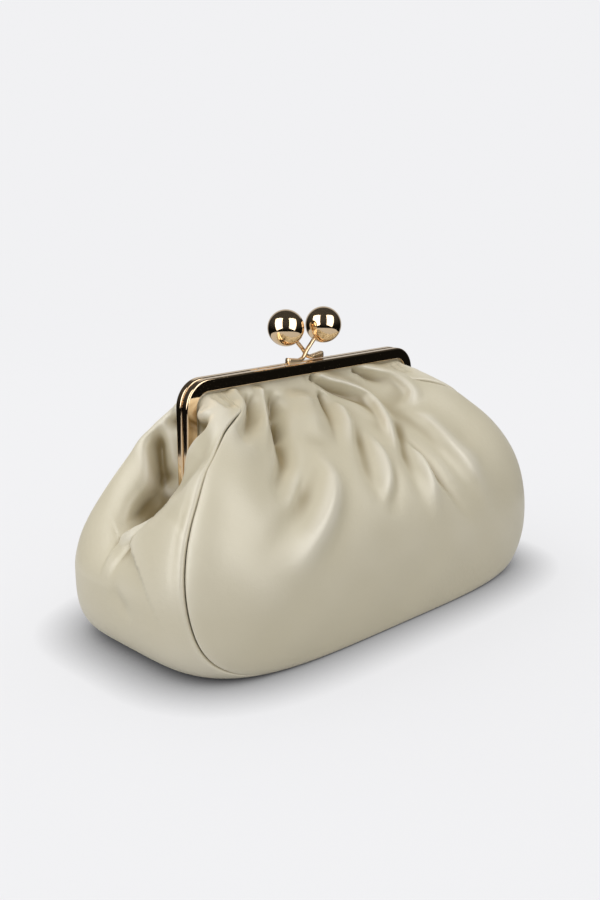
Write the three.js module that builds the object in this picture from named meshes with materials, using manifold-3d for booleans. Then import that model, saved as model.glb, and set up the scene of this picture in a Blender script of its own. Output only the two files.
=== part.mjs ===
// A ruched leather clutch on a kiss-lock frame: two gathered panels, a gusset band that runs down
// one end, under the base and up the other, a two-part gilt frame and a pair of crossed ball clasps.
// Millimetres, +Z up, the front faces -Y; the origin is under the middle of the body, on the table.
import * as THREE from "three";
import { mergeVertices } from "three/addons/utils/BufferGeometryUtils.js";
import Module from "manifold-3d";

const wasm = await Module();
wasm.setup();

// Frame: two inverted-U channels side by side, hinged at the leg ends.
const frameTop = 128;
const frameHalf = 83.5;
const frameCorner = 14;
const frameFace = 6.2;
const frameThick = 4.3;
const frameGap = 0.6;
const frameSheet = 0.8;
const legEnd = 71;
const frameBack = 8.2; // the frame stands this far behind the middle of the body

// Leather wall and its hold in the channel.
const wall = 1.5;
const tongue = 4; // length of leather inside the channel
const exit = 1.2; // straight run below the channel's lips
const skinOffset = 3.35; // outer skin from the frame's middle plane, inside the channel
const hingeDrop = 6; // the gusset passes this far under the leg ends
const hingeClose = 9; // run of the lip over which the gusset closes in below the hinge
const legClear = { drop: 0.5, run: 5 }; // height over which the gusset turns out below a leg end
const leave = { barOut: 0.35, legOut: 0.97, legIn: 0.25, legDown: 0.15, underDown: 0.12 }; // slope at the lip
const seamGap = 0.5;
const degreeSize = { lip: 1.1, waist: 2.2 }; // least skin in one degree, at the frame and at the waist

// Body: an oval with squared corners at the waist and a smaller one at the base.
const waistHeight = 35.2;
const waistHalf = 132.6;
const baseHalf = 109;
const waistDepth = { front: 76.5, back: 60.2 };
const waistSquare = { front: 5, back: 3.6 };
const baseDepth = { front: 72.8, back: 46 };
const baseSquare = { front: 4.3, back: 4.6 };
const shoulder = { front: 64, back: 26, frontSeam: 61, backSeam: 24.7, end: 24.5 }; // fullness over the waist
const lipPull = { panel: 28, end: 16 }; // how far the leather keeps the direction it leaves the frame in
const tuck = 23; // fullness between waist and base
const baseRound = 0.81; // share of the waist's reach that the lower edge keeps
const baseMiddle = 0.6; // share of the base's half length that its middle line takes up

// Places round the body are angles: 0 front middle, 90 left end, 180 back middle, 270 right end.
// Places down the body run from 0 at the frame's lip to 1 at the middle of the base.
const cornerAngle = 51;
const cornerAlong = 72; // path along the lip at cornerAngle
const waistDown = 0.6;
const baseDown = 0.85;
const panelDown = 0.8; // bottom edge of a panel, in its middle
const sideLift = 0.07; // share by which its lower edge rises towards the seams
const panelLength = 110; // skin from the frame to the panel's lower edge

// Seam between panel and gusset: the angle at its widest, and how far it draws in above and below that.
const seam = { wide: 53.5, wideDown: 0.36, topIn: 11, lowFrom: 0.42, lowIn: 40, footIn: 0.18, footPower: 8 };

// Gathers of a panel: one row for each ridge (height over 0) or valley (height under 0), in millimetres,
// from one place [angle, down] to another. Width is the half width in degrees at its start and end.
const gatherFade = { start: 0.22, end: 0.45, seam: 8 }; // shares of a gather's length; degrees
const gathers = [
  { name: "ridge by the left seam", from: [36, 0], to: [46, 0.24], bend: 0.8, height: 3.2, width: [3.2, 4] },
  { name: "long valley", from: [24, 0], to: [32, 0.41], bend: 1.3, height: -6.5, width: [3.2, 4.6] },
  { name: "long ridge", from: [6, 0], to: [29, 0.56], bend: 1.2, height: 4.6, width: [4, 6.5] },
  { name: "middle crease", from: [-2, 0], to: [5, 0.27], bend: 1.2, height: -3.4, width: [2.6, 3.4] },
  { name: "middle ridge", from: [-2, 0.06], to: [9, 0.42], bend: 1.1, height: 2.6, width: [3, 4.5] },
  { name: "crease under the pleat", from: [-6, 0], to: [-9, 0.3], bend: 1, height: -4.2, width: [3, 3.6] },
  { name: "pleat", from: [-13, 0], to: [-10, 0.42], bend: 0.9, height: 5.4, width: [4.5, 3.6] },
  { name: "lower valley", from: [-6, 0.16], to: [5, 0.44], bend: 1, height: -3.4, width: [3, 3.6] },
  { name: "right valley", from: [-20, 0.12], to: [-20, 0.46], bend: 1, height: -4.2, width: [3.4, 4.2] },
  { name: "right crease", from: [-24, 0], to: [-28, 0.15], bend: 1, height: -4.2, width: [3.2, 3.4] },
  { name: "right pleat", from: [-33, 0], to: [-33, 0.3], bend: 1, height: 4.6, width: [4.6, 5] },
  { name: "soft right ridge", from: [-29, 0.22], to: [-29, 0.58], bend: 1, height: 3, width: [4, 6] },
];

// Fold of the gusset: a crest on either side of the end's hollow, from the frame's corner to the dent where
// both crests meet. Its places [angle from the panel's middle, down]; height in millimetres; widths in down.
const crest = {
  places: [[47, 0.12], [66, 0.12], [76, 0.2], [88, 0.28], [92, 0.33]],
  height: 9,
  rise: [54, 72], // angles between which it rises, and then dies out
  fall: [92, 80],
  width: { above: 0.05, below: 0.1 },
};

// Clasp: two balls on crossed stems; the stem of each ball stands on the far side's frame half.
const ball = { radius: 9.75, across: 11.8, forward: 2.1, above: 18.9 };
const stem = { radius: 1.2, crossAbove: 5.6, crossForward: 1.65, socket: 3, socketEnd: 0.5, clearance: 0.3 };
const foot = { from: -1.5, to: -15, width: 3.4, low: 2.2, tall: 3.5, clearance: 0.3 }; // low at the stem
const stemRise = { start: 4, bend: 1, lift: 1.5 }; // where the stem leaves its foot

// Hinge rivets, hidden in the leg ends.
const rivet = { shank: 1.2, head: 2, headThick: 1, clearance: 0.3, aboveEnd: 4 };

// Grid of the leather walls.
const panelColumns = 30;
const gussetColumns = 14;
const wallRows = 19;
const baseRows = [0.5, 1]; // shares of the way from the panels' lower edge to the flat base

const leatherFinish = { color: 0xcfc8b2, roughness: 0.42, metalness: 0 };
const giltFinish = { color: 0xd9b98a, roughness: 0.16, metalness: 1 };

const radians = THREE.MathUtils.degToRad;
const mix = THREE.MathUtils.lerp;
const ease = (t) => THREE.MathUtils.smoothstep(t, 0, 1);
const clamp01 = (t) => THREE.MathUtils.clamp(t, 0, 1);

// Path beside the frame's inner edge, from the middle of the bar round the corner and down a leg.
// inset is the distance from the frame's outer edge.
function lipPath(along, inset) {
  const radius = frameCorner - inset;
  const bar = frameHalf - frameCorner;
  const arc = (Math.PI / 2) * (frameCorner - frameFace - exit);
  const turn = clamp01((along - bar) / arc) * (Math.PI / 2);
  const fall = Math.max(along - bar - arc, 0);
  const x = Math.min(along, bar) + radius * Math.sin(turn);
  const z = frameTop - frameCorner + radius * Math.cos(turn) - fall;
  const end = bar + arc + frameTop - frameCorner - legEnd + hingeDrop;
  return { x, z, end, cornerEnd: bar + arc };
}

// Oval with squared corners; the angle is taken on the square, so that the points spread evenly.
function squareOval(angle, half, depth, square) {
  const s = Math.sin(angle);
  const c = Math.cos(angle);
  const reach = (s ** square + c ** square) ** (-1 / square);
  return { x: half * s * reach, y: depth * c * reach };
}

function bezier(p0, p1, p2, p3, t) {
  return new THREE.CubicBezierCurve3(p0, p1, p2, p3).getPoint(t);
}

// Where a place round the body lies: which end, which face, and the angle folded into one quarter.
function quarterOf(angle) {
  const s = Math.sin(radians(angle));
  const c = Math.cos(radians(angle));
  const quarter = Math.asin(Math.min(Math.abs(s), 1));
  return { end: s >= 0 ? -1 : 1, face: c >= 0 ? "front" : "back", facing: c >= 0 ? -1 : 1, quarter };
}

function alongLip(quarter) {
  const corner = radians(cornerAngle);
  const share = clamp01((quarter - corner) / (Math.PI / 2 - corner));
  const { end } = lipPath(0, frameFace + exit);
  return quarter < corner ? (quarter / corner) * cornerAlong : mix(cornerAlong, end, share);
}

// Smooth body without gathers: from the lip over the shoulder to the waist, then in to the flat base.
function bodyPoint(angle, down) {
  const { end, face, facing, quarter } = quarterOf(angle);
  const corner = radians(cornerAngle);
  const along = alongLip(quarter);
  const lip = lipPath(along, frameFace + exit);
  const toCorner = ease((quarter / corner - 0.5) / 0.5); // 0 along the bar, 1 from the frame's corner on
  const toEnd = ease((quarter - corner) / (Math.PI / 2 - corner)); // 1 on the end's middle line
  const underLeg = ease((legEnd - legClear.drop - lip.z) / legClear.run);
  const start = new THREE.Vector3(lip.x, skinOffset * ease((lip.end - along) / hingeClose), lip.z);
  const besideLeg = toCorner * (1 - underLeg);
  const slope = new THREE.Vector3(
    underLeg - leave.legIn * besideLeg,
    mix(leave.barOut, leave.legOut, toCorner) * (1 - underLeg),
    toCorner - 1 - leave.legDown * besideLeg - leave.underDown * underLeg,
  ).normalize();
  const waistOval = squareOval(quarter, waistHalf, waistDepth[face], waistSquare[face]);
  const baseOval = squareOval(quarter, baseHalf, baseDepth[face], baseSquare[face]);
  const waist = new THREE.Vector3(waistOval.x, waistOval.y, waistHeight);
  const base = new THREE.Vector3(baseOval.x, baseOval.y, 0);
  const pull = mix(lipPull.panel, lipPull.end, toEnd);
  const full = mix(mix(shoulder[face], shoulder[face + "Seam"], toCorner), shoulder.end, toEnd);
  let point;
  if (down < waistDown) {
    const high = waist.clone().setZ(waistHeight + full);
    point = bezier(start, start.clone().addScaledVector(slope, pull), high, waist, down / waistDown);
  } else if (down < baseDown) {
    const low = waist.clone().setZ(waistHeight - tuck);
    const under = base.clone().lerp(waist, baseRound).setZ(0);
    point = bezier(waist, low, under, base, (down - waistDown) / (baseDown - waistDown));
  } else {
    const middle = new THREE.Vector3(baseMiddle * baseHalf * Math.sin(quarter), 0, 0);
    point = base.lerp(middle, (down - baseDown) / (1 - baseDown));
  }
  return new THREE.Vector3(point.x * end, point.y * facing + frameBack, point.z);
}

// Height of the gathers; the back panel has the front's gathers turned half round.
function gatherHeight(angle, down) {
  const wrapped = THREE.MathUtils.euclideanModulo(angle + 90, 180) - 90;
  let height = 0;
  for (const { from, to, bend, height: peak, width } of gathers) {
    const way = (down - from[1]) / (to[1] - from[1]);
    if (way <= 0 || way >= 1) continue;
    const middle = mix(from[0], to[0], way ** bend);
    const fade = ease(way / gatherFade.start) * ease((1 - way) / gatherFade.end);
    height += peak * fade * Math.exp(-(((wrapped - middle) / mix(width[0], width[1], way)) ** 2));
  }
  const panelShare = ease((seam.wide + 1 - Math.abs(wrapped)) / gatherFade.seam); // none on the gusset
  return height * panelShare;
}

// Height of the gusset's crests, the same on all four sides of the two ends.
function crestHeight(angle, down) {
  const quarter = THREE.MathUtils.radToDeg(quarterOf(angle).quarter);
  const next = crest.places.findIndex(([place]) => place > quarter);
  if (next < 1) return 0;
  const [from, to] = [crest.places[next - 1], crest.places[next]];
  const middle = mix(from[1], to[1], (quarter - from[0]) / (to[0] - from[0]));
  const share = ([start, end]) => ease((quarter - start) / (end - start));
  const width = down < middle ? crest.width.above : crest.width.below;
  return crest.height * share(crest.rise) * share(crest.fall) * Math.exp(-(((down - middle) / width) ** 2));
}

// Outward normal of a surface from a short turn round it and a short step down it.
function normalOf(surface, angle, down, turn, step) {
  const round = surface(angle + turn, down).sub(surface(angle - turn, down));
  const fall = surface(angle, down + step).sub(surface(angle, Math.max(down - step, 0)));
  return round.cross(fall).normalize();
}

function bodyNormal(angle, down) {
  if (down >= baseDown) return new THREE.Vector3(0, 0, -1);
  return normalOf(bodyPoint, angle, down, 0.3, 0.002);
}

function leatherPoint(angle, down) {
  const height = gatherHeight(angle, down) + crestHeight(angle, down);
  return bodyPoint(angle, down).addScaledVector(bodyNormal(angle, down), height);
}

function leatherNormal(angle, down) {
  if (down >= baseDown) return new THREE.Vector3(0, 0, -1);
  return normalOf(leatherPoint, angle, down, 0.6, 0.006);
}

// Angle of the seam between panel and gusset, way down the panel's side from 0 to 1.
function seamAngle(way) {
  const down = panelDown * (1 - sideLift) * way;
  const top = seam.topIn * clamp01(1 - down / seam.wideDown) ** 2;
  const low = seam.lowIn * Math.max(down - seam.lowFrom, 0) ** 2;
  return (seam.wide - top - low) * (1 - seam.footIn * way ** seam.footPower);
}

// Columns run round the body: front panel from right to left, left gusset, back panel, right gusset.
const columnCount = 2 * (panelColumns + gussetColumns);
const pathRows = wallRows + 1; // the first row is the edge inside the channel
const lastRow = pathRows + baseRows.length + 1;
const mirrorColumn = 2 * panelColumns + gussetColumns + columnCount; // a column and its mirror add up to this

// Place of a grid corner. shift moves it off the seam, round the body and down it, to leave the seam gap.
function gridPlace(column, row, shift) {
  const way = clamp01((row - 1 + shift.rows) / wallRows);
  const edgeAngle = seamAngle(way);
  const half = panelColumns + gussetColumns;
  const isBack = column >= half;
  const local = column - (isBack ? half : 0);
  const turned = isBack ? 180 : 0;
  const onPanel = local <= panelColumns;
  const side = onPanel ? (local / panelColumns) * 2 - 1 : 1;
  const across = (local - panelColumns) / gussetColumns;
  const gap = shift.gap / mix(degreeSize.lip, degreeSize.waist, ease(way * 2)); // in degrees
  const angle = (onPanel ? side * edgeAngle : mix(edgeAngle, 180 - edgeAngle, across)) + gap;
  const edge = panelDown * (1 - sideLift * Math.abs(side) ** 4);
  let down = edge * way;
  if (row > pathRows) {
    const step = row - pathRows - 1;
    down = step < baseRows.length ? mix(edge, baseDown, baseRows[step]) : 1;
  } else if (row === pathRows && shift.rows > 0) {
    down = edge + shift.rows / wallRows;
  }
  return { angle: angle + turned, down };
}

// Outer skin and its normal at a grid corner; row 0 lies inside the frame's channel.
function gridSkin(column, row, shift) {
  const { angle, down } = gridPlace(column, Math.max(row, 1), shift);
  const { end, facing, quarter } = quarterOf(angle);
  const along = alongLip(quarter);
  const held = along < lipPath(along, 0).cornerEnd;
  if (row === 0) {
    const lip = lipPath(along, frameFace - tongue);
    const point = new THREE.Vector3(lip.x * end, skinOffset * facing + frameBack, lip.z);
    return { point, normal: new THREE.Vector3(0, facing, 0), held };
  }
  const normal = row === 1 && held ? new THREE.Vector3(0, facing, 0) : leatherNormal(angle, down);
  return { point: leatherPoint(angle, down), normal, held };
}

// Closed wall over a set of grid cells: outer skin, inner skin and the edges between them.
function leatherWall(cells, shiftOf) {
  const corners = new Map();
  const skins = [];
  const cornerIndex = (column, row) => {
    let c = column % columnCount;
    if (row === lastRow) c = Math.min(c, (mirrorColumn - c) % columnCount); // front and back meet there
    const key = c * 100 + row;
    if (!corners.has(key)) {
      corners.set(key, skins.length);
      skins.push(gridSkin(c, row, shiftOf(c, row)));
    }
    return corners.get(key);
  };
  const triangles = [];
  const edges = new Map();
  for (const [column, row] of cells) {
    const ring = [[column, row], [column + 1, row], [column + 1, row + 1], [column, row + 1]];
    const places = ring.map(([c, r]) => cornerIndex(c, r));
    const quad = places.filter((v, i) => v !== places[(i + 1) % places.length]);
    quad.forEach((a, i) => {
      const b = quad[(i + 1) % quad.length];
      if (!edges.delete(b + ":" + a)) edges.set(a + ":" + b, [a, b]);
    });
    if (quad.length === 3) {
      triangles.push(quad);
      continue;
    }
    const [a, b, c, d] = quad;
    const across = (p, q) => skins[p].point.distanceTo(skins[q].point);
    if (across(a, c) < across(b, d)) triangles.push([a, b, c], [a, c, d]);
    else triangles.push([a, b, d], [b, c, d]);
  }
  const count = skins.length;
  const index = [];
  for (const [a, b, c] of triangles) index.push(a, b, c, a + count, c + count, b + count);
  for (const [a, b] of edges.values()) index.push(b, a, a + count, b, a + count, b + count);
  const inner = skins.map(({ point, normal }) => point.clone().addScaledVector(normal, -wall));
  const geometry = new THREE.BufferGeometry().setFromPoints([...skins.map((s) => s.point), ...inner]);
  geometry.setIndex(index);
  geometry.computeVertexNormals();
  return geometry;
}

const noShift = { gap: 0, rows: 0 };
const shiftRows = (seamGap / 2 / panelLength) * wallRows;

function panelWall(firstColumn) {
  const cells = [];
  for (let column = firstColumn; column < firstColumn + panelColumns; column++)
    for (let row = 0; row < pathRows; row++) cells.push([column, row]);
  return leatherWall(cells, (column, row) => {
    const local = column - firstColumn;
    const gap = local === 0 ? seamGap / 2 : local === panelColumns ? -seamGap / 2 : 0;
    return { gap, rows: row === pathRows ? -shiftRows : 0 };
  });
}

function gussetWall() {
  const half = panelColumns + gussetColumns;
  const cells = [];
  for (let column = 0; column < columnCount; column++) {
    const isGusset = column % half >= panelColumns;
    for (let row = 0; row < lastRow; row++) {
      if (row < pathRows && !isGusset) continue;
      const isHeld = [column, (column + 1) % columnCount].every((c) => gridSkin(c, 1, noShift).held);
      if (row === 0 && !isHeld) continue;
      cells.push([column, row]);
    }
  }
  return leatherWall(cells, (column, row) => {
    if (row > pathRows) return noShift;
    const local = column % half;
    const gap = local === panelColumns ? seamGap / 2 : local === 0 ? -seamGap / 2 : 0;
    return { gap, rows: row === pathRows && local <= panelColumns ? shiftRows : 0 };
  });
}

// Solids for joining and cutting, from closed geometries and back.
function solidOf(geometry) {
  const bare = geometry.clone();
  bare.deleteAttribute("normal");
  bare.deleteAttribute("uv");
  const merged = mergeVertices(bare, 1e-4);
  const vertProperties = merged.getAttribute("position").array;
  const triVerts = Uint32Array.from(merged.index.array);
  return new wasm.Manifold(new wasm.Mesh({ numProp: 3, vertProperties, triVerts }));
}

function geometryOf(solid) {
  const mesh = solid.getMesh();
  const geometry = new THREE.BufferGeometry();
  geometry.setAttribute("position", new THREE.BufferAttribute(mesh.vertProperties, 3));
  geometry.setIndex(new THREE.BufferAttribute(mesh.triVerts, 1));
  geometry.computeVertexNormals();
  return geometry;
}

// Inverted U between two insets from the frame's outer edge, as a plate between two depths.
function uPlate(outerInset, innerInset, nearY, farY, bottom) {
  const outline = new THREE.Path();
  const edge = (inset) => ({ half: frameHalf - inset, top: frameTop - inset, radius: frameCorner - inset });
  const outer = edge(outerInset);
  const inner = edge(innerInset);
  const corner = { x: frameHalf - frameCorner, z: frameTop - frameCorner };
  outline.moveTo(-outer.half, bottom);
  outline.lineTo(-outer.half, corner.z);
  outline.absarc(-corner.x, corner.z, outer.radius, Math.PI, Math.PI / 2, true);
  outline.absarc(corner.x, corner.z, outer.radius, Math.PI / 2, 0, true);
  outline.lineTo(outer.half, bottom);
  outline.lineTo(inner.half, bottom);
  outline.absarc(corner.x, corner.z, inner.radius, 0, Math.PI / 2, false);
  outline.absarc(-corner.x, corner.z, inner.radius, Math.PI / 2, Math.PI, false);
  outline.lineTo(-inner.half, bottom);
  const shape = new THREE.Shape(outline.getPoints(4));
  const plate = new THREE.ExtrudeGeometry(shape, { depth: farY - nearY, bevelEnabled: false, steps: 1 });
  return plate.rotateX(Math.PI / 2).translate(0, farY, 0);
}

// One half of the frame: a plate of full thickness with its channel and rivet holes cut out.
function frameHalfGeometry() {
  const innerFace = frameGap / 2;
  const outerFace = innerFace + frameThick;
  const plate = solidOf(uPlate(0, frameFace, innerFace, outerFace, legEnd));
  const cutDeep = frameFace + 1;
  const channelNear = innerFace + frameSheet;
  const channelFar = outerFace - frameSheet;
  const channel = solidOf(uPlate(frameSheet, cutDeep, channelNear, channelFar, legEnd - 1));
  let half = plate.subtract(channel);
  const holeRadius = rivet.shank + rivet.clearance;
  for (const end of [-1, 1]) {
    const hole = new THREE.CylinderGeometry(holeRadius, holeRadius, (2 * frameThick) / 3, 10);
    half = half.subtract(solidOf(hole.translate(end * rivetAcross, innerFace, rivetHeight)));
  }
  return geometryOf(half);
}

const rivetAcross = frameHalf - frameFace / 2;
const rivetHeight = legEnd + rivet.aboveEnd;

// Rivet through the two inner walls of the channels, with a head on each side.
function rivetGeometry() {
  const grip = frameGap / 2 + frameSheet + rivet.clearance;
  const tip = grip + rivet.headThick;
  const profile = [
    [0, -tip], [rivet.head, -tip], [rivet.head, -grip], [rivet.shank, -grip],
    [rivet.shank, grip], [rivet.head, grip], [rivet.head, tip], [0, tip],
  ];
  return new THREE.LatheGeometry(profile.map(([r, y]) => new THREE.Vector2(r, y)), 10);
}

const ballCentre = new THREE.Vector3(ball.across, -ball.forward, frameTop + ball.above);

// Stem of the front clasp: up from its foot, past the middle, into the ball on the right.
function stemPath(tipInset) {
  const frameMiddle = -(frameGap + frameThick) / 2;
  const footMiddle = frameTop + foot.clearance + foot.low / 2;
  const cross = new THREE.Vector3(0, -stem.crossForward, frameTop + stem.crossAbove);
  const tip = ballCentre.clone().add(cross.clone().sub(ballCentre).setLength(tipInset));
  return new THREE.CatmullRomCurve3([
    new THREE.Vector3(foot.from - stemRise.start, frameMiddle, footMiddle),
    new THREE.Vector3(foot.from - stemRise.bend, frameMiddle, footMiddle + stemRise.lift),
    cross,
    tip,
  ]);
}

function tubeGeometry(path, radius, sides, steps) {
  const round = new THREE.Shape();
  for (let i = 0; i < sides; i++) {
    const angle = (2 * Math.PI * i) / sides;
    const place = [radius * Math.cos(angle), radius * Math.sin(angle)];
    if (i === 0) round.moveTo(...place);
    else round.lineTo(...place);
  }
  return new THREE.ExtrudeGeometry(round, { extrudePath: path, steps, bevelEnabled: false });
}

function armGeometry() {
  const bottom = frameTop + foot.clearance;
  const side = new THREE.Shape();
  side.moveTo(foot.to, bottom);
  side.lineTo(foot.from, bottom);
  side.lineTo(foot.from, bottom + foot.low);
  side.lineTo(foot.to, bottom + foot.tall);
  const plate = new THREE.ExtrudeGeometry(side, { depth: foot.width, bevelEnabled: false, steps: 1 });
  plate.rotateX(Math.PI / 2).translate(0, (foot.width - frameGap - frameThick) / 2, 0);
  const rod = tubeGeometry(stemPath(ball.radius - stem.socket), stem.radius, 8, 10);
  return geometryOf(solidOf(plate).add(solidOf(rod)));
}

function ballGeometry() {
  const sphere = new THREE.SphereGeometry(ball.radius, 18, 12).rotateX(Math.PI / 2);
  sphere.translate(ballCentre.x, ballCentre.y, ballCentre.z);
  const boreEnd = ball.radius - stem.socket - stem.socketEnd;
  const bore = tubeGeometry(stemPath(boreEnd), stem.radius + stem.clearance, 8, 10);
  return geometryOf(solidOf(sphere).subtract(solidOf(bore)));
}

const clutch = new THREE.Group();

function addPiece(name, geometry, finish, parent = clutch) {
  const piece = new THREE.Mesh(geometry, new THREE.MeshStandardMaterial(finish));
  piece.name = name;
  parent.add(piece);
  return piece;
}

addPiece("front_panel", panelWall(0), leatherFinish);
addPiece("back_panel", panelWall(panelColumns + gussetColumns), leatherFinish);
addPiece("gusset_band", gussetWall(), leatherFinish);

// The metal stands in the frame's own plane; the front half is the back half turned half round.
const metalwork = new THREE.Group();
metalwork.position.y = frameBack;
clutch.add(metalwork);
const frontHalf = new THREE.Group();
frontHalf.rotation.z = Math.PI;
metalwork.add(frontHalf);
const backClasp = new THREE.Group();
backClasp.rotation.z = Math.PI;
metalwork.add(backClasp);

addPiece("frame_front", frameHalfGeometry(), giltFinish, frontHalf);
addPiece("frame_back", frameHalfGeometry(), giltFinish, metalwork);
addPiece("clasp_arm_front", armGeometry(), giltFinish, metalwork);
addPiece("clasp_ball_front", ballGeometry(), giltFinish, metalwork);
addPiece("clasp_arm_back", armGeometry(), giltFinish, backClasp);
addPiece("clasp_ball_back", ballGeometry(), giltFinish, backClasp);
for (const [name, end] of [["hinge_rivet_left", -1], ["hinge_rivet_right", 1]]) {
  const pin = addPiece(name, rivetGeometry(), giltFinish, metalwork);
  pin.position.set(end * rivetAcross, 0, rivetHeight);
}

export default clutch;
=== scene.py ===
import bpy
import numpy as np
from mathutils import Matrix, Vector


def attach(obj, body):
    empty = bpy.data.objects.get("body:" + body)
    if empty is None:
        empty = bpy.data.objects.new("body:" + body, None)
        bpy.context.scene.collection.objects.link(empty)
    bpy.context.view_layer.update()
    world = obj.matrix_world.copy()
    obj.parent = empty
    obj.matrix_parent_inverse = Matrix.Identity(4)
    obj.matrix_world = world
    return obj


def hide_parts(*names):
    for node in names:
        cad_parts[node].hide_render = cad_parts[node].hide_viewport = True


# A ruched leather clutch on a gilt kiss-lock frame.
# Sizes are millimetres and angles degrees; the meshes are in metres.
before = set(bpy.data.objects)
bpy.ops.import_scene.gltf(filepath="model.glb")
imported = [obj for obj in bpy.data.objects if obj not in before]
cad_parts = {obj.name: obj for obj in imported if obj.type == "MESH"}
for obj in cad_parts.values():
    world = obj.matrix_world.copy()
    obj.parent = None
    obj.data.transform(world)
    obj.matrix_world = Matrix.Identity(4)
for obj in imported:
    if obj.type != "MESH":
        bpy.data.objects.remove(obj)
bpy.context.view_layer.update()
mm = 0.001
weldGap = 0.002  # corners closer than this are one
print("frame loaded:", len(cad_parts), "nodes")

photoCamera = dict(
    yaw=44.0,  # the camera stands to the left of the front
    pitch=14.65,  # and looks down
    reach=546.0,  # level distance from the frame's middle
    height=221.5,
    focalPixels=1028.0,
    middleX=304.8,  # column that the lens looks at
    imageWide=600,
    imageTall=900,
    sensor=36.0,
)

frameSizes = dict(
    top=128.0,
    half=83.5,
    corner=14.0,
    face=6.2,
    thick=4.3,
    gap=0.6,
    sheet=0.8,
    legEnd=71.0,
    back=8.2,  # the frame stands behind the middle of the body
    edgeRound=0.9,
    lipRound=0.3,
    edgeSteps=6,  # faces in a round
    lipSteps=3,
    flatKeep=0.12,  # holds the flats flat beside each round
    legSteps=14,
    cornerSteps=25,
    barSteps=33,
)

bodySizes = dict(
    skinOffset=3.35,  # outer skin from the middle plane of the frame
    tongue=4.0,  # leather inside the channel
    exit=1.2,  # straight run below the channel
    hingeDrop=6.0,  # the gusset passes this far under the leg ends
    hingeClose=9.0,  # run of the lip over which it closes in there
    legDrop=0.5,  # start and height of the turn out below a leg
    legRun=5.0,
    barOut=0.35,  # slopes at the lip: under the bar, then beside and under a leg
    legOut=0.97,
    legIn=0.25,
    legDown=0.15,
    underDown=0.12,
    waistHeight=35.2,  # the widest oval of the body, and the smaller one at its base
    waistHalf=132.6,
    baseHalf=109.0,
    waistFront=76.5,
    waistBack=60.2,
    squareFront=5.0,
    squareBack=3.6,
    baseFront=72.8,
    baseBack=46.0,
    baseSquareFront=4.3,
    baseSquareBack=4.6,
    shoulderFront=60.0,  # fullness over the waist
    shoulderBack=26.0,
    seamFront=57.0,
    seamBack=24.7,
    shoulderEnd=24.5,
    pullPanel=28.0,  # how far the leather keeps the direction it leaves the frame in
    pullEnd=16.0,
    tuck=23.0,  # fullness between waist and base
    baseRound=0.81,  # share of the waist's reach that the lower edge keeps
    baseMiddle=0.6,  # share of the base's half length that its middle line takes up
    cornerAngle=51.0,  # angle at the frame's corner, and the path along the lip up to it
    cornerAlong=72.0,
    cornerFrom=0.5,  # share of that angle at which the slope starts to turn
    waistDown=0.6,  # shares down the body
    baseDown=0.85,
)


def ease(t):
    # smooth step: three t squared less two t cubed, t held from 0 to 1
    t = np.clip(t, 0.0, 1.0)
    return t * t * (3.0 - 2.0 * t)


def mix(a, b, t):
    # a plus t times the way from a to b
    return a + (b - a) * t


def unit(v):
    # each vector over its length
    return v / np.maximum(np.linalg.norm(v, axis=-1, keepdims=True), 1e-9)


def stack(x, y, z):
    # three coordinates, spread to one shape, as points
    return np.stack(np.broadcast_arrays(x, y, z), axis=-1).astype(float)


def bezier(p0, p1, p2, p3, t):
    # cubic curve: its four points weighed by the Bernstein polynomials of t
    t = t[..., None]
    return (1 - t) ** 3 * p0 + 3 * (1 - t) ** 2 * t * p1 + 3 * (1 - t) * t**2 * p2 + t**3 * p3


def lipPath(along, inset):
    # along the bar, round a quarter circle and down a leg, at a distance inside the frame's outer edge
    f = frameSizes
    bar = f["half"] - f["corner"]
    arc = np.pi / 2 * (f["corner"] - f["face"] - bodySizes["exit"])
    turn = np.clip((along - bar) / arc, 0, 1) * np.pi / 2
    radius = f["corner"] - inset
    x = np.minimum(along, bar) + radius * np.sin(turn)
    z = f["top"] - f["corner"] + radius * np.cos(turn) - np.maximum(along - bar - arc, 0)
    end = bar + arc + f["top"] - f["corner"] - f["legEnd"] + bodySizes["hingeDrop"]
    return x, z, end


def squareOval(quarter, half, depth, square):
    # oval with squared corners: sine and cosine over the root of the sum of their powers
    s, c = np.sin(quarter), np.abs(np.cos(quarter))
    reach = (s**square + c**square) ** (-1.0 / square)
    return half * s * reach, depth * c * reach


def quarterOf(angle):
    # which end (-1 left), which face (-1 front), and the angle folded into one quarter
    s, c = np.sin(np.radians(angle)), np.cos(np.radians(angle))
    return np.where(s >= 0, -1.0, 1.0), np.where(c >= 0, -1.0, 1.0), np.arcsin(np.minimum(np.abs(s), 1.0))


def alongLip(quarter):
    # the bar takes the angles up to the corner, the leg shares out the rest
    b = bodySizes
    corner = np.radians(b["cornerAngle"])
    share = np.clip((quarter - corner) / (np.pi / 2 - corner), 0, 1)
    end = lipPath(0.0, 0.0)[2]
    onBar = quarter / corner * b["cornerAlong"]
    return np.where(quarter < corner, onBar, mix(b["cornerAlong"], end, share)), share


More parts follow.
